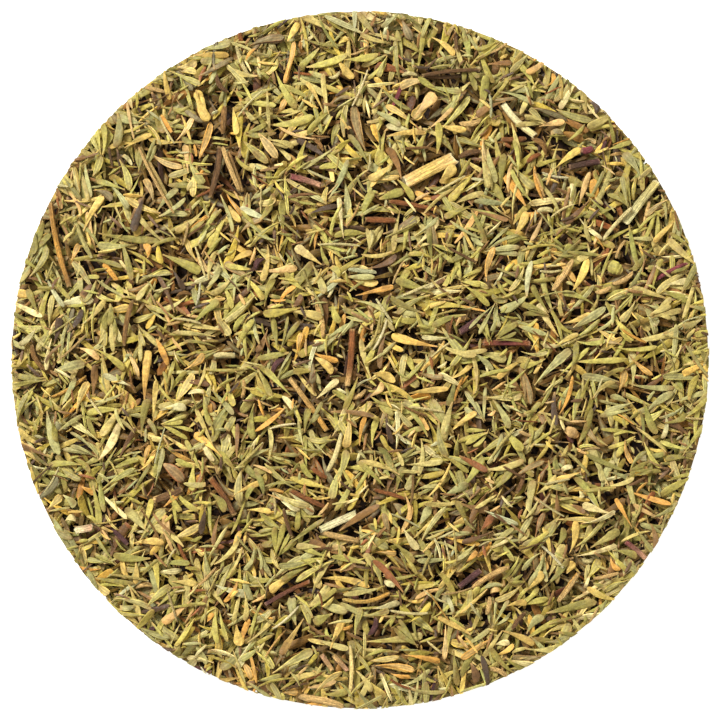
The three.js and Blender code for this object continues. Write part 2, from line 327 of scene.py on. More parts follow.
def section(half, curl, thick, ring):
    """Points across a blade that rolls down more and more towards its margins: aside and up."""
    across = ring[:, 0]
    curl = np.asarray(curl, float)
    steps = (np.arange(6) + 0.5) / 6

    def unrolled(place):
        angles = curl[..., None] * (place[..., None] * steps) ** 2
        return np.abs(place) * np.cos(angles).mean(-1), -np.abs(place) * np.sin(angles).mean(-1)

    scale = half / unrolled(np.minimum(1, np.sqrt(np.pi / 2 / curl)))[0]
    aside, up = unrolled(across)
    angle = curl * across ** 2
    depth = thick * (1 - ring[:, 1]) / 2
    aside = np.maximum(aside * scale - depth * np.sin(angle), 0.1 * half)
    return np.sign(across) * aside, up * scale - depth * np.cos(angle)


def midrib(share, ring, width, groove, ridge):
    """How far a blade's points lie lower along its middle: a groove above and a ridge below."""
    spine = np.exp(-((ring[:, 0] / width) ** 2)) * np.sin(np.pi * share).clip(0, 1)
    return spine * np.where(ring[:, 1] > 0, groove, ridge)


def blade_points(fields, along, ring):
    """Points of leaf blades in their own frames: X to the tip, Z up. along has one share for each point."""
    start, end, length, width, thick, curl = values_of(fields, "start end length width thick curl")
    twist, bow, arch, sway = values_of(fields, "twist bow arch sway")
    crumple, phase, over = values_of(fields, "crumple phase over")
    share = start + (end - start) * along
    t, n = section(width / 2 * outline(fields, share), curl, thick, ring)
    n = n - midrib(share, ring, width=0.2, groove=0.05, ridge=0.09)
    n = n + crumple * np.sin(9 * share + 2.5 * ring[:, 0] + phase)
    t, n = t * over, n * over
    middle = 1 - (2 * along - 1) ** 2
    turn = twist * (along - 0.5)
    t, n = t * np.cos(turn) - n * np.sin(turn), t * np.sin(turn) + n * np.cos(turn)
    t = t + bow * middle
    n = n + arch * middle + sway * np.sin(2 * np.pi * along)
    s = (share - (start + end) / 2) * length
    return np.stack(np.broadcast_arrays(s, t, n), -1)


def rod_points(fields, along, ring):
    """Points of stem bits in their own frames. ring holds the angles round the section."""
    length, width, bend, arch = values_of(fields, "length width bend arch")
    rough, flat, phase = values_of(fields, "rough flat phase")
    angle = ring[None, None, :]
    middle = 1 - (2 * along - 1) ** 2
    narrowed = 0.45 * np.abs(2 * along - 1) ** 6
    slant = 0.3 * width * np.cos(angle + phase)
    ribs = 1 + rough * np.sin(3 * angle + 8 * along + phase) + rough * np.sin(4 * angle)
    radius = width / 2 * (ribs - narrowed)
    t = radius * np.cos(angle) + bend * middle
    n = radius * np.sin(angle) * flat + arch * middle
    s = (along - 0.5) * length + slant * (along - 0.5)
    return np.stack(np.broadcast_arrays(s, t, n), -1)


# How each kind of piece is drawn and shaped, and the rings that feel the pile below it and raise it above
LEAF = dict(fields_of=leaf_fields, points_of=blade_points, under=np.array([(1, 0), (0, -1), (-1, 0)]),
            over=np.array([(across, 1) for across in np.linspace(-1, 1, 9)]))
ROD = dict(fields_of=rod_fields, points_of=rod_points, under=np.array([0, -np.pi / 2, np.pi]),
           over=np.linspace(0, np.pi, 5))
UNDER_SHARES = np.linspace(0.04, 0.96, 9)
OVER_SHARES = np.linspace(0, 1, 27)

# How finely pieces are built: their kind, the shares where their rings are, and a ring
DETAILS = {
    "fine": (LEAF, FINE_SHARES, FINE_RING),
    "plain": (LEAF, PLAIN_SHARES, PLAIN_RING),
    "rod": (ROD, ROD_SHARES, round_angles(8)),
    "crumb": (ROD, CRUMB_SHARES, round_angles(6)),
}


class Pile:
    """The growing pile's height on a square grid, the height it may reach, and the places to keep clear."""

    def __init__(self):
        self.cells = int(2 * GRID_REACH / CELL)
        self.top = np.zeros((self.cells, self.cells))
        self.ceiling = np.full((self.cells, self.cells), TOP_LIMIT)
        self.clear = np.zeros((self.cells, self.cells), bool)
        middles = (np.arange(self.cells) + 0.5) * CELL - GRID_REACH
        self.radius = np.hypot(*np.meshgrid(middles, middles, indexing="ij"))

    def index(self, x, y):
        """The cells that points are over."""
        column = ((x + GRID_REACH) / CELL).astype(int).clip(0, self.cells - 1)
        row = ((y + GRID_REACH) / CELL).astype(int).clip(0, self.cells - 1)
        return column, row

    def level(self, inner, outer):
        """The mean height between two radii."""
        return self.top[(self.radius > inner) & (self.radius < outer)].mean()

    def settle(self, under, x, y, yaw, flatness):
        """The pose where a piece comes to rest lowest, and whether it would hide a place to keep clear."""
        slopes = SLOPES[rng.choice(len(SLOPES), SLOPES_TRIED, replace=False)] * flatness
        cos = np.cos(yaw)[:, None]
        sin = np.sin(yaw)[:, None]
        cells = self.index(x[:, None] + under[:, 0] * cos - under[:, 1] * sin,
                           y[:, None] + under[:, 0] * sin + under[:, 1] * cos)
        blocked = self.clear[cells].mean(1) > MOST_BLOCKED
        rise = (self.top[cells] - under[:, 2])[:, None, :] - (slopes @ under[:, :2].T)[None]
        heights = rise.max(2)
        trial, slope = np.unravel_index((heights + FAR * blocked[:, None]).argmin(), heights.shape)
        pose = [x[trial], y[trial], heights[trial, slope] - SINK, yaw[trial], *slopes[slope]]
        return np.array(pose), blocked[trial]

    def cover(self, over, pose, pressed=False):
        """Raises the pile by a piece at rest, unless it would stand too high. Says whether it was laid.
        A piece that is pressed down is lowered until it doesn't, and is kept clear."""
        x, y, z, yaw, along, across = pose
        cells = self.index(x + over[:, 0] * math.cos(yaw) - over[:, 1] * math.sin(yaw),
                           y + over[:, 0] * math.sin(yaw) + over[:, 1] * math.cos(yaw))
        heights = z + over[:, 2] + along * over[:, 0] + across * over[:, 1]
        if pressed:
            excess = max(0, (heights - self.ceiling[cells]).max())
            pose[2] -= excess
            heights = heights - excess
            self.clear[cells] = True
        elif (heights > self.ceiling[cells]).any():
            return False
        np.maximum.at(self.top, cells, heights)
        return True


def hulls(kind, fields):
    """Sample points below and above every piece, for settling and for covering."""
    count = len(fields["length"])
    for shares, ring in ((UNDER_SHARES, kind["under"]), (OVER_SHARES, kind["over"])):
        along = np.broadcast_to(shares[None, :, None], (count, len(shares), len(ring)))
        yield kind["points_of"](fields, along, ring).reshape(count, -1, 3)


def drop(pile, kind, fields, inner, outer, trials, flatness=1.0):
    """Lets pieces fall one after another between two radii. Returns the laid ones with their poses."""
    under, over = hulls(kind, fields)
    poses = np.zeros((len(under), 6))
    laid = np.zeros(len(under), bool)
    for number in range(len(under)):
        radius = np.sqrt(rng.uniform(inner ** 2, outer ** 2, trials))
        bearing = rng.uniform(0, 2 * np.pi, trials)
        yaw = rng.uniform(0, 2 * np.pi, trials)
        x, y = radius * np.cos(bearing), radius * np.sin(bearing)
        poses[number], blocked = pile.settle(under[number], x, y, yaw, flatness)
        laid[number] = not blocked and pile.cover(over[number], poses[number])
    return picked({**fields, "pose": poses}, laid)


def lay_leaves(pile, detail, level, inner=0, outer=LAID_RADIUS, trials=3, flatness=1.0, shade=1.0):
    """Lets mixed leaves fall until the pile's mean height between two radii is at a level, their tints
    multiplied by shade, a painted shade.
    """
    numbers = {(form, slot): round(LEAVES_AT_ONCE * slot_share * form_share)
               for slot, slot_share in LEAF_SLOTS.items() for form, form_share in FORM_SHARES.items()}
    parts = []
    while pile.level(inner, BED_RADIUS) < level:
        fields = shuffled([leaf_fields(form, slot, number) for (form, slot), number in numbers.items()])
        fields["tint"] = fields["tint"] * shade
        parts.append(drop(pile, LEAF, fields, inner, outer, trials, flatness))
    return detail, joined(parts)


def lay_rods(pile, form, count, trials):
    """Lets so many stem bits, fibres or crumbs fall."""
    numbers = {slot: round(count * share) for slot, share in ROD_SLOTS[form].items()}
    fields = shuffled([rod_fields(form, slot, number) for slot, number in numbers.items()])
    detail = "crumb" if form == "crumb" else "rod"
    return detail, drop(pile, ROD, fields, 0, CRUMBED_RADIUS, trials)


def read_spans(spans_px):
    """Spans given in the photograph, in the bed's frame: both ends, the width and the colour of each."""
    spans = np.array([span for group in spans_px.values() for span in group], float)
    names = np.repeat(list(spans_px), [len(group) for group in spans_px.values()])
    ends = (spans[:, :4].reshape(-1, 2, 2) - DISC_CENTRE_PX) * MM_PER_PX * (1, -1)
    return ends, spans[:, 4] * MM_PER_PX, names


def tuft_spans(count):
    """Spans of sprig tips at random places: four leaves each, which spread from one stalk."""
    turns = np.tile((-0.5, 0.35, -0.15, 0.1), count)
    radius = BED_RADIUS * np.sqrt(rng.uniform(0, 0.92, count))
    bearing = rng.uniform(0, 2 * np.pi, count)
    stalk = np.repeat(radius[:, None] * towards(bearing), 4, axis=0)
    stalk = stalk + rng.normal(0, 0.25, stalk.shape)
    yaw = np.repeat(rng.uniform(0, 2 * np.pi, count), 4) + turns + rng.normal(0, 0.08, len(turns))
    length = rng.uniform(3.4, 6.4, (len(turns), 1))
    tip = stalk + length * towards(yaw)
    names = np.repeat(rng.choice(["green", "olive", "lime", "khaki", "sage"], count), 4)
    return np.stack([stalk, tip], 1), rng.uniform(0.6, 1.3, len(turns)), names


def lay_spans(pile, spans, detail, form, slots):
    """Lays pieces whose places are given, presses them down to the bed's top and keeps them clear."""
    ends, widths, names = spans
    reach = ends[:, 1] - ends[:, 0]
    middle = ends.mean(1)
    yaw = np.arctan2(reach[:, 1], reach[:, 0])
    kind = DETAILS[detail][0]
    fields = kind["fields_of"](form, slots[0], len(ends))
    fields["length"] = np.hypot(*reach.T)
    fields["width"] = widths
    fields["tint"] = np.array([tone(name) for name in names]) * rng.normal(1, 0.06, (len(ends), 1))
    fields["start"] = np.zeros(len(ends))
    fields["end"] = np.ones(len(ends))
    under, over = hulls(kind, fields)
    poses = np.zeros((len(ends), 6))
    for number in range(len(ends)):
        place = (middle[number, :1], middle[number, 1:], yaw[number:number + 1])
        poses[number] = pile.settle(under[number], *place, flatness=0.4)[0]
        pile.cover(over[number], poses[number], pressed=True)
    slot_of = {colour: slot for slot in slots for colour in PALETTE[slot]}
    fields["slot"] = np.array([slot_of[name] for name in names])
    fields["pose"] = poses
    return detail, fields


def posed(kind, fields, along, ring):
    """Points of pieces of one kind, where they came to rest."""
    poses = fields["pose"]
    yaw, rise, roll = poses[:, 3:].T
    s_axis = np.stack([np.cos(yaw), np.sin(yaw), rise], -1)
    s_axis /= np.linalg.norm(s_axis, axis=1, keepdims=True)
    t_axis = np.stack([-np.sin(yaw), np.cos(yaw), roll], -1)
    n_axis = np.cross(s_axis, t_axis)
    n_axis /= np.linalg.norm(n_axis, axis=1, keepdims=True)
    t_axis = np.cross(n_axis, s_axis)
    axes = np.stack([s_axis, t_axis, n_axis], 1)
    points = kind["points_of"](fields, along, ring)
    return np.einsum("pijk,pkl->pijl", points, axes) + poses[:, None, None, :3]


def edge_radius(height):
    """The bed's radius at a height."""
    return BED_RADIUS + WALL_LEAN * (TOP_LEVEL - np.clip(height, UPRIGHT_LEVEL, TOP_LEVEL))


def shares_inside(detail, fields):
    """For each point of each piece, its share along the piece once what lies past the bed's edge is cut off,
    and the part of each piece that lies inside."""
    kind, shares, ring = DETAILS[detail]
    poses = fields["pose"]
    along = np.broadcast_to(shares[None, :, None], (len(poses), len(shares), len(ring))).copy()
    inside_part = np.ones(len(poses))
    crossing = np.flatnonzero(np.hypot(poses[:, 0], poses[:, 1]) + fields["length"] / 2 + 1 > BED_RADIUS)
    if len(crossing) == 0:
        return along, inside_part
    dense = np.linspace(0, 1, 41)
    grid = np.broadcast_to(dense[None, :, None], (len(crossing), len(dense), len(ring)))
    spots = posed(kind, picked(fields, crossing), grid, ring)
    radius = np.hypot(spots[..., 0], spots[..., 1])
    inside = radius < edge_radius(spots[..., 2])
    inside_part[crossing] = inside.mean((1, 2))
    off_middle = np.abs(np.arange(len(dense)) - len(dense) // 2)[None, :, None]
    seed_row = np.where(inside, off_middle, FAR + radius).argmin(1)
    rows = np.arange(len(dense))[None, :, None]
    before = np.where(~inside & (rows < seed_row[:, None, :]), rows, -1).max(1)
    after = np.where(~inside & (rows > seed_row[:, None, :]), rows, len(dense)).min(1)
    low = dense[before.clip(0, len(dense) - 1)]
    high = dense[after.clip(0, len(dense) - 1)]
    along[crossing] = low[:, None, :] + (high - low)[:, None, :] * shares[None, :, None]
    return along, inside_part


def clamped(points):
    """Points outside the bed's edge or below its underside, moved onto it."""
    radius = np.hypot(points[..., 0], points[..., 1])
    shrink = np.minimum(1, edge_radius(points[..., 2]) / np.maximum(radius, 1e-9))
    points[..., 0] *= shrink
    points[..., 1] *= shrink
    points[..., 2] = np.maximum(points[..., 2], 0)
    return points


def bake_map(mesh, count, stations, sides):
    """Gives every piece a cell of its own on one map: its side rolled out flat, and its ends beside it."""
    columns = math.ceil(math.sqrt(count / 2))
    rows = math.ceil(count / columns)
    cap = 0.07
    margin = 0.04
    corners = np.array([(0, 0), (0, 1), (1, 1), (1, 0)])
    u = (np.arange(stations - 1)[:, None, None] + corners[:, 0]) / (stations - 1)
    v = (np.arange(sides)[None, :, None] + corners[:, 1]) / sides
    u, v = np.broadcast_arrays(cap + (1 - 2 * cap) * u, margin + (1 - 2 * margin) * v)
    rolled = np.stack([u, v], -1).reshape(-1, 2)
    round_end = 0.35 * towards(round_angles(sides)) * (cap, 1)
    cells = np.arange(count)
    corner = np.stack([cells % columns, cells // columns], -1)[:, None, :]
    size = np.array([1 / columns, 1 / rows])
    blocks = [rolled, round_end[::-1] + (cap / 2, 0.5), round_end + (1 - cap / 2, 0.5)]
    coordinates = np.concatenate([((block[None] + corner) * size).reshape(-1) for block in blocks])
    layer = mesh.uv_layers.new(name="OFBake")
    layer.uv.foreach_set("vector", coordinates.astype(np.float32))


def tube_mesh(name, points, tint, marks):
    """A mesh of closed tubes: points has one block of rings for each piece."""
    count, stations, sides = points.shape[:3]
    mesh = bpy.data.meshes.new(name)
    first = (np.arange(count) * stations * sides)[:, None, None]
    ring = (np.arange(stations - 1) * sides)[None, :, None]
    here = np.arange(sides)[None, None, :]
    after = (here + 1) % sides
    quads = np.stack([ring + here, ring + after, ring + sides + after, ring + sides + here], -1)
    quads = quads + first[..., None]
    start_caps = first[:, 0] + np.arange(sides)[::-1]
    end_caps = first[:, 0] + (stations - 1) * sides + np.arange(sides)
    loops = np.concatenate([quads.reshape(-1), start_caps.reshape(-1), end_caps.reshape(-1)])
    sizes = np.concatenate([np.full(count * (stations - 1) * sides, 4), np.full(2 * count, sides)])
    mesh.vertices.add(count * stations * sides)
    mesh.vertices.foreach_set("co", (points * MM).reshape(-1).astype(np.float32))
    mesh.loops.add(len(loops))
    mesh.loops.foreach_set("vertex_index", loops.astype(np.int32))
    mesh.polygons.add(len(sizes))
    mesh.polygons.foreach_set("loop_start", np.concatenate([[0], np.cumsum(sizes)[:-1]]).astype(np.int32))
    mesh.update(calc_edges=True)
    bake_map(mesh, count, stations, sides)
    mesh.shade_smooth()
    mesh.set_sharp_from_angle(angle=SHARP_ANGLE)
    colours = np.ones((count, stations, sides, 4), np.float32)
    colours[..., :3] = tint[:, None, None, :]
    layer = mesh.attributes.new("tint", "FLOAT_COLOR", "POINT")
    layer.data.foreach_set("color", colours.reshape(-1))
    for title, values in marks.items():
        layer = mesh.attributes.new(title, "FLOAT_VECTOR", "POINT")
        layer.data.foreach_set("vector", values.reshape(-1).astype(np.float32))
    return mesh


def add_piece(name, mesh, material, slot, *nodes):
    """Puts a mesh in the scene as a piece of the bed."""
    piece = bpy.data.objects.new(name, mesh)
    bpy.context.scene.collection.objects.link(piece)
    mesh.materials.append(material)
    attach(piece, "root")
    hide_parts(*nodes)


def marks_of(along, across, side, seeds):
    """Where each point is on its piece (along, across, and above or below), and its piece's seeds."""
    shape = along.shape
    place = np.stack([along, np.broadcast_to(across, shape), np.broadcast_to(side, shape)], -1)
    return {"blade": place, "seed": np.broadcast_to(seeds[:, None, None, :], (*shape, 3))}


def build_layer(name, detail, pieces, materials):
    """Adds a layer's pieces to the scene, split by slot and into square tiles."""
    kind, _, ring = DETAILS[detail]
    across, side = ring.T if kind is LEAF else towards(ring).T
    for slot in sorted(set(pieces["slot"])):
        tile = GREEN_TILE if slot == "leaf_green" and detail == "fine" else OTHER_TILE
        steps = int(2 * BED_RADIUS // tile)
        fields = picked(pieces, pieces["slot"] == slot)
        along, inside_part = shares_inside(detail, fields)
        column, row = ((fields["pose"][:, :2] + BED_RADIUS) // tile).clip(0, steps - 1).astype(int).T
        tiles = np.where(inside_part > LEAST_INSIDE, column * steps + row, -1)
        for number in sorted(set(tiles) - {-1}):
            part = np.flatnonzero(tiles == number)
            points = clamped(posed(kind, picked(fields, part), along[part], ring))
            marks = marks_of(along[part], across, side, rng.random((len(part), 3)))
            label = f"{name}_{slot}_{number + 1:02d}"
            mesh = tube_mesh(label, points, fields["tint"][part], marks)
            add_piece(label, mesh, materials[slot], slot, "leaf_bed")


# Leaves that stand out in the photograph, by colour: the pixels of the stalk's end and of the tip, and the
# width in pixels
LEAF_SPANS_PX = {
    "orange": [
        (199, 159, 210, 121, 8), (284, 83, 294, 41, 6), (275, 115, 286, 98, 7), (546, 86, 553, 73, 6),
        (70, 264, 78, 243, 7), (147, 258, 145, 243, 9), (156, 338, 167, 365, 8), (184, 369, 204, 353, 8),
        (144, 465, 150, 444, 6), (297, 353, 301, 332, 7), (312, 352, 338, 361, 7), (359, 445, 365, 416, 6),
        (618, 393, 625, 370, 9), (627, 353, 653, 375, 6), (558, 416, 572, 375, 5), (486, 281, 494, 246, 8),
        (81, 486, 93, 494, 7), (207, 621, 213, 612, 6), (375, 665, 414, 670, 8), (404, 654, 440, 662, 8),
        (390, 673, 410, 677, 6), (281, 694, 298, 693, 8), (333, 626, 353, 625, 5), (375, 552, 396, 553, 7),
        (466, 561, 476, 550, 6), (628, 491, 670, 503, 7), (240, 661, 251, 679, 8), (610, 556, 619, 570, 7),
        (164, 506, 180, 491, 7), (624, 439, 631, 463, 6), (240, 648, 249, 618, 7),
    ],
    "gold": [
        (196, 90, 208, 121, 12), (124, 148, 151, 133, 7), (176, 66, 196, 60, 11), (228, 205, 240, 222, 8),
        (431, 37, 454, 55, 8), (338, 60, 353, 78, 9), (439, 125, 466, 130, 8), (440, 181, 454, 165, 12),
        (514, 234, 526, 211, 9), (76, 413, 87, 381, 9), (176, 402, 193, 373, 10), (313, 356, 332, 373, 10),
        (373, 373, 395, 381, 10), (408, 393, 448, 388, 7), (448, 379, 473, 362, 6), (448, 433, 476, 411, 7),
        (563, 323, 590, 313, 7), (133, 543, 164, 542, 9), (173, 538, 199, 524, 9), (47, 509, 61, 494, 9),
        (236, 624, 240, 645, 12), (95, 579, 109, 593, 9), (369, 661, 399, 656, 7), (321, 578, 369, 587, 8),
        (569, 553, 575, 520, 9), (524, 590, 541, 570, 9), (506, 605, 526, 602, 8), (566, 573, 573, 561, 9),
    ],
    "yellow": [
        (233, 107, 236, 135, 8), (179, 73, 197, 73, 8), (338, 44, 347, 37, 8), (287, 41, 298, 21, 8),
        (553, 170, 581, 147, 9), (572, 290, 587, 257, 9), (247, 509, 271, 511, 7), (541, 639, 567, 625, 6),
        (194, 549, 203, 555, 7),
    ],
    "pale": [
        (99, 459, 119, 422, 10), (316, 398, 338, 379, 8), (155, 572, 181, 570, 7), (64, 521, 75, 518, 9),
        (402, 526, 418, 549, 9), (577, 497, 581, 491, 8), (494, 644, 509, 642, 8),
    ],
    "lime": [
        (119, 159, 129, 190, 9), (92, 176, 101, 155, 9), (306, 67, 347, 54, 9), (344, 60, 378, 53, 9),
        (269, 124, 313, 116, 10), (243, 141, 268, 162, 10), (332, 148, 338, 122, 8), (437, 132, 470, 95, 8),
        (372, 447, 378, 416, 8), (332, 303, 339, 323, 9), (401, 289, 408, 269, 9), (613, 347, 656, 346, 6),
        (575, 361, 628, 359, 7),
    ],
    "olive": [
        (98, 233, 159, 240, 9), (555, 109, 593, 121, 9), (210, 492, 225, 511, 10), (141, 436, 148, 398, 10),
        (556, 546, 563, 527, 8), (546, 613, 596, 601, 10), (612, 550, 636, 556, 9), (453, 650, 457, 685, 8),
        (284, 547, 324, 518, 6), (500, 194, 503, 153, 8),
    ],
    "sage": [
        (344, 179, 347, 214, 9), (46, 410, 60, 454, 10), (631, 384, 674, 387, 7), (645, 413, 673, 391, 9),
        (572, 327, 605, 307, 9), (492, 399, 509, 428, 9), (63, 494, 75, 506, 9), (526, 633, 543, 615, 10),
        (419, 524, 430, 506, 10),
    ],
    "tan": [
        (538, 127, 564, 121, 8), (584, 139, 596, 142, 6), (76, 347, 99, 359, 8), (579, 205, 590, 171, 7),
        (370, 395, 382, 382, 8), (413, 118, 434, 93, 14), (258, 133, 277, 158, 10), (153, 204, 144, 178, 8),
        (153, 155, 182, 167, 8), (445, 624, 444, 659, 6),
    ],
    "umber": [
        (365, 150, 353, 106, 10), (92, 396, 95, 364, 9), (524, 372, 530, 404, 7), (556, 489, 558, 511, 6),
        (570, 504, 584, 512, 7), (339, 530, 379, 504, 9), (219, 515, 213, 544, 6),
    ],
    "rust": [
        (162, 463, 184, 480, 14), (537, 414, 543, 424, 7), (535, 537, 544, 512, 7), (208, 399, 214, 411, 5),
    ],
    "brown": [
        (401, 17, 410, 40, 10), (93, 190, 112, 199, 9), (249, 46, 284, 37, 9), (292, 306, 301, 294, 8),
        (448, 514, 462, 512, 7), (470, 662, 476, 682, 10), (393, 503, 403, 513, 11), (367, 268, 396, 255, 8),
    ],
    "dark": [
        (424, 121, 442, 107, 7), (205, 506, 200, 534, 8), (171, 268, 184, 289, 7), (307, 214, 338, 205, 7),
    ],
}

# Stems and straws that stand out, in the same way: the pixels of both ends
ROD_SPANS_PX = {
    "rust": [
        (365, 219, 395, 220, 5), (526, 162, 540, 153, 5), (312, 468, 326, 477, 5), (373, 489, 405, 498, 4),
        (196, 197, 223, 185, 3),
    ],
    "tan": [
        (222, 147, 239, 191, 5), (144, 87, 165, 92, 4), (139, 147, 174, 213, 3), (350, 398, 365, 390, 5),
        (612, 284, 633, 272, 5), (595, 292, 610, 287, 5), (615, 258, 625, 240, 3), (558, 601, 578, 573, 4),
        (489, 668, 506, 676, 5), (323, 532, 359, 541, 6), (459, 124, 480, 121, 6), (552, 290, 572, 260, 6),
        (135, 587, 153, 586, 5), (486, 613, 489, 596, 5), (298, 696, 344, 705, 7), (593, 578, 618, 572, 4),
    ],
    "umber": [
        (132, 300, 124, 345, 5), (31, 344, 44, 370, 5), (225, 106, 223, 133, 6), (532, 138, 546, 153, 6),
        (176, 295, 191, 294, 4),
    ],
    "brown": [
        (220, 147, 210, 197, 5), (216, 75, 227, 92, 5), (422, 75, 479, 70, 4), (459, 156, 480, 151, 6),
        (283, 508, 291, 535, 4), (511, 628, 524, 612, 5), (153, 500, 182, 489, 7),
    ],
    "plum": [(272, 372, 284, 358, 6), (255, 269, 263, 258, 6), (369, 635, 376, 618, 6)],
    "crimson": [(581, 150, 593, 148, 7)],
    "pale": [
        (402, 75, 416, 75, 4), (329, 78, 339, 72, 4), (537, 211, 552, 211, 5), (214, 355, 234, 355, 5),
        (602, 240, 630, 208, 4), (327, 471, 341, 433, 5), (582, 560, 593, 560, 5), (390, 610, 427, 612, 3),
    ],
}

# The colours of the loose pieces, each from one end to the other, a leaf's from its stalk
LOOSE_COLOURS_BY_KIND = {
    "brown_stem": "umber orange umber, brown dark, tan umber, tan khaki, dark brown, rust umber, "
                  "rust rust rust tan, orange tan, rust brown, dark brown tan, orange gold, pink tan, "
                  "tan pink, orange tan",
    "purple_stem": "plum plum, crimson pink, plum rust, plum plum, pink crimson, plum dark, "
                   "rust crimson rust",
    "straw_chip": "tan gold tan, mint cream mint, cream pink, mint khaki, cream mint, pale cream",
    "golden_leaf": "orange gold, orange orange, orange yellow, gold pale, gold pale, orange orange, "
                   "gold yellow, tan gold, orange gold, gold umber, gold orange",
    "brown_leaf": "tan umber, rust umber, rust rust, dark brown",
    "green_leaf": "olive green, sage sage, olive green, khaki green, lime khaki, khaki olive",
    "tan_flake": "tan umber",
    "green_flake": "green lime",
}
LOOSE_COLOURS = {f"{kind}_{number:02d}": names.split()
                 for kind, group in LOOSE_COLOURS_BY_KIND.items()
                 for number, names in enumerate(group.split(","), start=1)}

# Loose leaves that lie with their undersides up
UPTURNED = {"golden_leaf_08", "green_leaf_02", "green_leaf_04", "brown_leaf_01"}

# The outlines of the loose leaves and flakes
LEAF_BLADE = dict(taper=1.5, blunt=0.32)
ROUND_BLADE = dict(taper=0.5, blunt=0.5)

# Where a loose piece's solid is cut across, and the rings that the piece is built of
CUT_SHARES = np.linspace(0.03, 0.97, 13)
LOOSE_STATIONS = 24
LOOSE_RING = np.array([
    (1, 0), (0.82, 1), (0.55, 1), (0.25, 1), (0, 1), (-0.25, 1), (-0.55, 1), (-0.82, 1),
    (-1, 0), (-0.6, -1), (-0.22, -1), (0, -1), (0.22, -1), (0.6, -1),
])
LOOSE_ANGLES = round_angles(14)


def cut_across(node):
    """Where a loose piece's solid lies, and its form in cuts across it, narrow end first."""
    mesh = frame["nodes"][node].data
    spots = np.array([vertex.co for vertex in mesh.vertices]) / MM
    ends = np.array([edge.vertices for edge in mesh.edges])
    origin = spots[:, :2].mean(0)
    flat = spots[:, :2] - origin
    heading = np.linalg.eigh(np.cov(flat.T))[1][:, 1]
    aside = np.array([-heading[1], heading[0]])
    along = flat @ heading
    across = flat @ aside
    low, high = along.min(), along.max()
    cuts = []
    for share in CUT_SHARES:
        plane = low + (high - low) * share
        one, other = ends[(along[ends[:, 0]] - plane) * (along[ends[:, 1]] - plane) < 0].T
        part = (plane - along[one]) / (along[other] - along[one])
        side = across[one] + part * (across[other] - across[one])
        height = spots[one, 2] + part * (spots[other, 2] - spots[one, 2])
        cuts.append((side.min(), side.max(), height.min(), height.max()))
    left, right, bottom, top = np.array(cuts).T
    half = (right - left) / 2
    middle = (left + right) / 2
    half_way = len(half) // 2
    if half[:half_way].sum() > half[-half_way:].sum():
        heading, aside = -heading, -aside
        low, high = -high, -low
        half, middle, bottom, top = half[::-1], -middle[::-1], bottom[::-1], top[::-1]
    half = np.convolve(np.pad(half, 1, mode="edge"), (0.25, 0.5, 0.25), "valid")
    return dict(origin=origin, heading=heading, aside=aside, low=low, high=high,
                half=half, middle=middle, bottom=bottom, top=top)


def at(form, share, key):
    """One of a form's values at shares of its length."""
    return np.interp(share, CUT_SHARES, form[key])


def placed(form, share, torn, t, z):
    """Points given by their share along a loose piece, aside of its axis and up, in the bed's frame."""
    s = form["low"] + (form["high"] - form["low"]) * share + torn
    s, t, z = np.broadcast_arrays(s, t + at(form, share, "middle"), z)
    flat = form["origin"] + s[..., None] * form["heading"] + t[..., None] * form["aside"]
    return np.concatenate([flat, z[..., None]], -1)


def loose_leaf(form, blade, upturned, wave):
    """Points of a leaf in its solid's form: thin, rolled down at its margins, with a fine uneven edge."""
    share = (1 - (1 - np.linspace(0, 1, LOOSE_STATIONS)) ** 1.6)[:, None]
    edge = 1 + 0.035 * np.sin(31 * share + wave) + 0.025 * np.sin(17 * share - wave)
    values = {name: np.array([value]) for name, value in {**blade, "ragged": 0.06, "phase": wave}.items()}
    half = form["half"].max() * outline(values, share[None])[0]
    t, n = section(half * edge, 1.1 + 0.4 * math.sin(wave), 0.28, LOOSE_RING)
    n = n - midrib(share, LOOSE_RING, width=0.16, groove=0.08, ridge=0.1)
    n = n + 0.05 * np.sin(9 * share + 2 * LOOSE_RING[:, 0] + wave)
    if upturned:
        t, n = -t, -n
    z = at(form, share, "bottom") + n - n.min(1, keepdims=True)
    return placed(form, share, 0, t, z), share


def loose_rod(form, flat, wave):
    """Points of a stem or chip in the form of its solid, ribbed along it, with knots and uneven ends."""
    share = np.linspace(0, 1, LOOSE_STATIONS)[:, None]
    knot = 0.0 if flat else 0.16
    square = 0.4 if flat else 1.0
    knots = 1 + knot * np.exp(-((share - 0.3 - 0.05 * math.sin(wave)) / 0.03) ** 2)
    ribs = 1 + 0.06 * np.sin(5 * LOOSE_ANGLES + 3 * share + wave) + 0.04 * np.sin(9 * LOOSE_ANGLES)
    side = np.sign(np.cos(LOOSE_ANGLES)) * np.abs(np.cos(LOOSE_ANGLES)) ** square
    rise = np.sign(np.sin(LOOSE_ANGLES)) * np.abs(np.sin(LOOSE_ANGLES)) ** square
    height = (at(form, share, "top") - at(form, share, "bottom")) / 2
    torn = 0.35 * form["half"].mean() * np.sin(3 * LOOSE_ANGLES + wave) * np.sin(LOOSE_ANGLES + 2 * wave)
    t = at(form, share, "half") * knots * side * ribs
    z = at(form, share, "bottom") + height * (1 + rise * ribs)
    return placed(form, share, torn * (2 * share - 1), t, z), share


def blended(names, share):
    """Colours at shares of a piece's length, blended through the named ones."""
    stops = np.array([tone(name) for name in names])
    places = np.linspace(0, 1, len(stops))
    return np.stack([np.interp(share, places, stops[:, channel]) for channel in range(3)], -1)


def footprint(pile, form):
    """The pile's cells under a loose piece and close round it."""
    share = np.linspace(0, 1, 70)[:, None]
    reach = at(form, share, "half") + 0.3
    spots = placed(form, share, 0, reach * np.linspace(-1, 1, 11), 0)
    return pile.index(spots[..., 0], spots[..., 1])


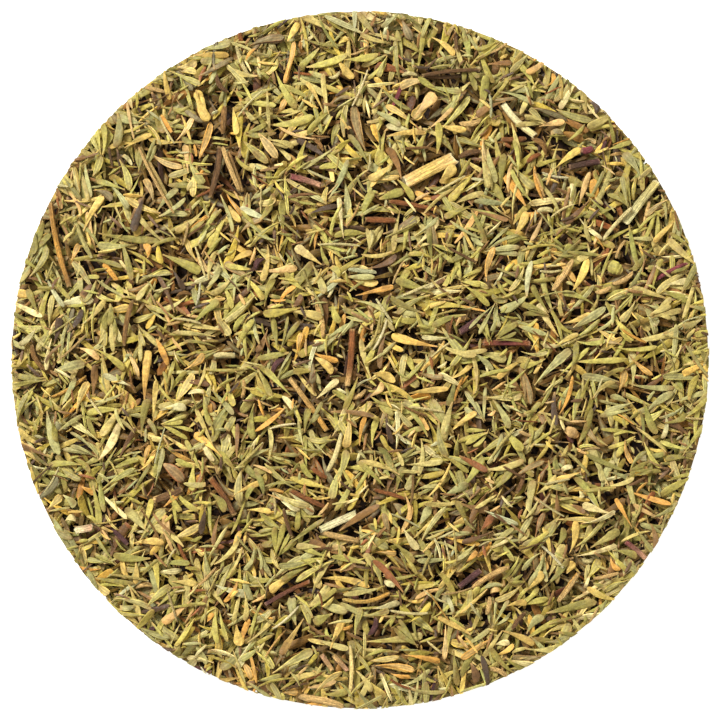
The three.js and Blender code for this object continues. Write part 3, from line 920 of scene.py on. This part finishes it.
def add_loose_piece(node, form, number, materials):
    """One loose piece, in place of its solid. Returns its highest point."""
    slot = next(row["material_slot"] for row in frame["record"]["subparts"] if row["node"] == node)
    wave = 1.7 * number
    if "leaf" in node or "flake" in node:
        blade = ROUND_BLADE if "flake" in node else LEAF_BLADE
        points, share = loose_leaf(form, blade, node in UPTURNED, wave)
        across, side = LOOSE_RING.T
    else:
        points, share = loose_rod(form, "chip" in node, wave)
        across, side = towards(LOOSE_ANGLES).T
    points = clamped(points[None])
    along = np.broadcast_to(share, points.shape[1:3])[None]
    marks = marks_of(along, across, side, rng.random((1, 3)))
    mesh = tube_mesh(node + "_fine", points, blended(LOOSE_COLOURS[node], along), marks)
    add_piece(node + "_fine", mesh, materials[slot], slot, node)
    return points[..., 2].max()


class Shading:
    """A new node material, with short calls for the nodes that the materials here use."""

    def __init__(self, name):
        self.material = bpy.data.materials.new(name)
        self.material.use_nodes = True
        self.nodes = self.material.node_tree.nodes
        self.links = self.material.node_tree.links
        self.shader = self.nodes["Principled BSDF"]
        self.place = self.nodes.new("ShaderNodeTexCoord").outputs["Object"]

    def put(self, socket, value):
        """Links an output to a socket, or sets the socket to a number or a colour."""
        if isinstance(value, bpy.types.NodeSocket):
            self.links.new(value, socket)
        elif isinstance(value, (int, float)):
            socket.default_value = value
        else:
            socket.default_value = (*value, 1)

    def node(self, kind, **inputs):
        """A new node whose inputs of these names are set."""
        node = self.nodes.new("ShaderNode" + kind)
        for name, value in inputs.items():
            self.put(node.inputs[name], value)
        return node

    def attribute(self, name):
        node = self.node("Attribute")
        node.attribute_name = name
        return node.outputs["Color"]

    def parts(self, vector):
        return self.node("SeparateXYZ", Vector=vector).outputs

    def scaled(self, vector, scale):
        node = self.node("VectorMath")
        node.operation = "MULTIPLY"
        node.inputs[1].default_value = scale
        self.put(node.inputs[0], vector)
        return node.outputs[0]

    def noise(self, scale, detail, place=None):
        return self.node("TexNoise", Scale=scale, Detail=detail, Vector=place or self.place).outputs["Fac"]

    def cells(self, scale):
        return self.node("TexVoronoi", Scale=scale, Vector=self.place).outputs["Distance"]

    def ramp(self, value, *stops):
        """The value mapped through stops, each a place with a grey or a colour."""
        node = self.node("ValToRGB")
        elements = node.color_ramp.elements
        while len(elements) < len(stops):
            elements.new(0.5)
        for element, (place, colour) in zip(elements, stops):
            element.position = place
            element.color = (colour,) * 3 + (1,) if isinstance(colour, float) else (*colour, 1)
        self.put(node.inputs["Fac"], value)
        return node.outputs["Color"]

    def mix(self, mode, factor, one, other):
        node = self.node("Mix")
        node.data_type = "RGBA"
        node.blend_type = mode
        for number, value in ((0, factor), (6, one), (7, other)):
            self.put(node.inputs[number], value)
        return node.outputs[2]

    def maths(self, operation, *values):
        node = self.node("Math")
        node.operation = operation
        for socket, value in zip(node.inputs, values):
            self.put(socket, value)
        return node.outputs[0]

    def finish(self, colour, height, depth, rough):
        """Links the colour, a relief of so many metres and the roughness to the shader."""
        bump = self.node("Bump", Strength=0.8, Distance=depth, Height=height)
        self.put(self.shader.inputs["Normal"], bump.outputs["Normal"])
        self.put(self.shader.inputs["Base Color"], colour)
        self.put(self.shader.inputs["Roughness"], rough)
        self.put(self.shader.inputs["Specular IOR Level"], 0.45)
        return self.material


def leaf_material(name, tip_colour, tip_share):
    """A velvety leaf, mottled and stained, with a paler, ribbed underside, painted shade along the midrib
    and painted highlights on the margins.
    """
    leaf = Shading(name)
    along, across, side = leaf.parts(leaf.attribute("blade"))[:3]
    stain_seed, tip_seed = leaf.parts(leaf.attribute("seed"))[:2]
    middle = leaf.maths("ABSOLUTE", across)
    below = leaf.ramp(leaf.maths("MULTIPLY_ADD", side, 0.5, 0.5), (0.1, 1.0), (0.4, 0.0))

    colour = leaf.attribute("tint")
    colour = leaf.mix("MIX", leaf.maths("MULTIPLY", below, 0.35), colour, tone("felt"))
    mottle = leaf.ramp(leaf.noise(1100, 3), (0.3, 0.66), (0.7, 1.28))
    colour = leaf.mix("MULTIPLY", 0.9, colour, mottle)
    speckle = leaf.ramp(leaf.noise(3600, 2), (0.35, 0.84), (0.65, 1.15))
    colour = leaf.mix("MULTIPLY", 0.8, colour, speckle)
    stain = leaf.ramp(leaf.noise(430, 2), (0.56, 0.0), (0.7, 0.7))
    colour = leaf.mix("MIX", leaf.maths("MULTIPLY", stain, stain_seed), colour, tone("stain"))

    # Above: painted shade darkens the midrib's groove, and painted highlights lighten the margins
    groove = leaf.ramp(middle, (0.0, 0.8), (0.1, 0.94), (0.2, 1.0), (0.72, 0.98), (0.86, 1.25), (1.0, 1.5))
    # Below: lighter along the ridge, painted shade in the clefts beside it and painted highlights on the
    # rolled margins
    ridge = leaf.ramp(middle, (0.0, 1.15), (0.12, 1.0), (0.3, 0.74), (0.6, 0.86), (0.8, 1.1), (1.0, 1.25))
    colour = leaf.mix("MULTIPLY", 1.0, colour, leaf.mix("MIX", below, groove, ridge))
    stalk = leaf.ramp(along, (0.0, 0.75), (0.2, 0.0))
    colour = leaf.mix("MIX", stalk, colour, tone("stalk"))
    tip = leaf.maths("MULTIPLY", leaf.ramp(along, (0.72, 0.0), (1.0, tip_share)), tip_seed)
    colour = leaf.mix("MIX", tip, colour, tone(tip_colour))

    glands = leaf.ramp(leaf.cells(4200), (0.1, 0.0), (0.35, 1.0))
    relief = leaf.mix("MULTIPLY", 0.5, leaf.noise(2600, 4), glands)
    rough = leaf.ramp(leaf.noise(1800, 2), (0.3, 0.48), (0.7, 0.75))
    leaf.put(leaf.shader.inputs["Sheen Weight"], 0.08)
    leaf.put(leaf.shader.inputs["Sheen Roughness"], 0.5)
    return leaf.finish(colour, relief, 0.00018, rough)


def rod_material(name, cut_colour, darkest, lightest):
    """A fibrous stem: streaks along it, pits and paler cut ends."""
    stem = Shading(name)
    along = stem.parts(stem.attribute("blade"))[0]
    streaks = stem.noise(1.0, 4, stem.scaled(stem.attribute("blade"), (3.0, 8.0, 8.0)))
    bands = stem.ramp(streaks, (0.34, darkest), (0.6, lightest))
    colour = stem.mix("MULTIPLY", 0.9, stem.attribute("tint"), bands)
    grain = stem.ramp(stem.noise(2600, 3), (0.32, 0.72), (0.68, 1.3))
    colour = stem.mix("MULTIPLY", 0.9, colour, grain)
    ends = stem.ramp(along, (0.0, 0.85), (0.05, 0.0), (0.95, 0.0), (1.0, 0.85))
    colour = stem.mix("MIX", ends, colour, tone(cut_colour))
    rough = stem.ramp(stem.noise(1500, 2), (0.3, 0.5), (0.7, 0.8))
    return stem.finish(colour, bands, 0.0003, rough)


def core_material():
    """Leaf dust between the leaves, in olive browns that its tint darkens with painted shade."""
    dust = Shading("leaf_dust_and_painted_shade")
    grains = dust.ramp(dust.noise(1400, 4), (0.35, tone("dark_dust")), (0.65, tone("light_dust")))
    colour = dust.mix("MULTIPLY", 1.0, grains, dust.attribute("tint"))
    rough = dust.ramp(dust.noise(900, 2), (0.3, 0.85), (0.7, 1.0))
    return dust.finish(colour, dust.noise(1600, 4), 0.0004, rough)


def add_core(material):
    """The heart of the bed: a drum whose skin is a rough heap of leaf dust, darkened with painted shade but
    for its underside.
    """
    turns = 240
    rings = 30
    profile = [(radius, CORE_BOTTOM) for radius in np.linspace(0.4, CORE_RADIUS, rings)]
    profile += [(CORE_RADIUS, height) for height in (2.5, 4.0, 5.5, 6.5)]
    profile += [(COLLAR_RADIUS, height) for height in np.linspace(COLLAR_BOTTOM, COLLAR_TOP, 4)]
    profile += [(radius, CORE_TOP) for radius in np.linspace(CORE_RADIUS - 0.6, 0.4, rings)]
    profile = np.array(profile)
    radius = profile[:, :1] - rng.uniform(0, 0.2, (len(profile), turns))
    height = profile[:, 1:] + rng.uniform(-0.3, 0.3, (len(profile), turns))
    x, y = radius * towards(round_angles(turns)).T[:, None]
    points = np.stack([x, y, height], -1)[None]
    along = np.zeros(points.shape[:3])
    marks = marks_of(along, np.zeros(turns), np.zeros(turns), np.zeros((1, 3)))
    tint = np.ones((*along.shape, 3))
    # Painted shade: every ring but the underside's is darkened
    tint[:, rings:] = DUST_PAINTED_SHADE
    mesh = tube_mesh("leaf_dust_and_painted_shade", points, tint, marks)
    add_piece("leaf_dust_and_painted_shade", mesh, material, "leaf_brown", "leaf_bed")


def add_camera():
    """A camera straight above, framed as the photograph is."""
    camera = bpy.data.objects.new("camera", bpy.data.cameras.new("camera"))
    camera.data.lens = 100
    half_view = camera.data.sensor_width / 2 / camera.data.lens
    distance = MM_PER_PX * FRAME_PX / 2 / half_view
    camera.location = (0, 0, (TOP_LEVEL + distance) * MM)
    bpy.context.scene.collection.objects.link(camera)
    bpy.context.scene.camera = camera


def add_key_light():
    """A round soft lamp at the upper left of the photograph, which points at the bed."""
    lamp = bpy.data.lights.new("key_light", "AREA")
    lamp.shape = "DISK"
    lamp.size = KEY_SIZE
    lamp.energy = KEY_ENERGY
    light = bpy.data.objects.new("key_light", lamp)
    light.location = KEY_PLACE
    x, y, z = KEY_PLACE
    light.rotation_euler = (math.atan2(math.hypot(x, y), z), 0, math.atan2(x, -y))
    bpy.context.scene.collection.objects.link(light)


def add_surround():
    """Even light from all round, a little warm."""
    world = bpy.data.worlds.new("studio")
    world.use_nodes = True
    background = world.node_tree.nodes["Background"]
    background.inputs["Color"].default_value = WORLD_COLOUR
    background.inputs["Strength"].default_value = WORLD_STRENGTH
    bpy.context.scene.world = world
    bpy.context.scene.view_settings.view_transform = "Standard"


def add_floor():
    """A white floor that gives off light, just under the bed."""
    corners = [(x, y, FLOOR_HEIGHT) for x, y in ((-1, -1), (1, -1), (1, 1), (-1, 1))]
    mesh = bpy.data.meshes.new("floor")
    mesh.from_pydata(np.array(corners) * (FLOOR_HALF_SIDE, FLOOR_HALF_SIDE, 1), [], [(0, 1, 2, 3)])
    floor = bpy.data.objects.new("floor", mesh)
    bpy.context.scene.collection.objects.link(floor)
    pale = Shading("pale_floor")
    pale.put(pale.shader.inputs["Base Color"], (0.5, 0.5, 0.5))
    pale.put(pale.shader.inputs["Roughness"], 0.9)
    pale.put(pale.shader.inputs["Emission Color"], (1, 1, 1))
    pale.put(pale.shader.inputs["Emission Strength"], 0.85)
    mesh.materials.append(pale.material)


add_camera()
add_key_light()
add_surround()
add_floor()
materials = {
    "leaf_green": leaf_material("green_leaf", "umber", 0.7),
    "leaf_golden": leaf_material("golden_leaf", "orange", 0.4),
    "leaf_brown": leaf_material("brown_leaf", "dark", 0.5),
    "stem_brown": rod_material("brown_stem", "tan", 0.65, 1.9),
    "stem_purple": rod_material("purple_stem", "pink", 0.6, 1.9),
    "straw": rod_material("straw", "cream", 0.75, 1.35),
}
forms = {node: cut_across(node) for node in LOOSE_COLOURS}

# The layers, in the order in which they are laid, with the loose pieces between them
pile = Pile()
layers = {}
add_core(core_material())
layers["floor"] = lay_leaves(pile, "plain", FLOOR_LEVEL)
pile.top[pile.radius < SETTLED_RADIUS] = CORE_TOP
# Painted shade darkens the wall's leaves
layers["wall"] = lay_leaves(pile, "fine", WALL_LEVEL, inner=SETTLED_RADIUS, trials=4, flatness=0.5,
                            shade=RIM_PAINTED_SHADE)
for form in forms.values():
    pile.ceiling[footprint(pile, form)] = LOOSE_LEVEL - CLEARANCE
# Painted shade darkens and browns the body's leaves, which lie deepest
layers["body"] = lay_leaves(pile, "plain", BODY_LEVEL, shade=DEEP_PAINTED_SHADE)
for number, (node, form) in enumerate(forms.items()):
    cells = footprint(pile, form)
    pile.ceiling[cells] = TOP_LIMIT
    pile.top[cells] = add_loose_piece(node, form, number, materials)
    pile.clear[cells] = True
# Painted shade browns the bedding's leaves a little
layers["bedding"] = lay_leaves(pile, "fine", BEDDING_LEVEL, shade=BEDDING_PAINTED_SHADE)
layers["tuft"] = lay_spans(pile, tuft_spans(TUFTS), "fine", "common", list(LEAF_SLOTS))
layers["spread"] = lay_spans(pile, read_spans(LEAF_SPANS_PX), "fine", "common", list(LEAF_SLOTS))
layers["twig"] = lay_spans(pile, read_spans(ROD_SPANS_PX), "rod", "stem", list(ROD_SLOTS["stem"]))
layers["stem"] = lay_rods(pile, "stem", STEMS, trials=2)
layers["deep_crumb"] = lay_rods(pile, "crumb", DEEP_CRUMBS, trials=2)
layers["top"] = lay_leaves(pile, "fine", TOP_LEVEL, trials=9, flatness=0.35)
# Painted shade darkens the leaves that close the edge's upper corner
layers["rim"] = lay_leaves(pile, "fine", RIM_LEVEL, inner=RIM_INNER, outer=RIM_OUTER, trials=4,
                           flatness=0.5, shade=RIM_PAINTED_SHADE)
layers["fibre"] = lay_rods(pile, "fibre", FIBRES, trials=2)
layers["crumb"] = lay_rods(pile, "crumb", CRUMBS, trials=4)

for name in ("floor", "wall", "body", "bedding", "top", "rim", "tuft", "spread", "twig", "stem", "fibre",
             "deep_crumb", "crumb"):
    build_layer(name, *layers[name], materials)
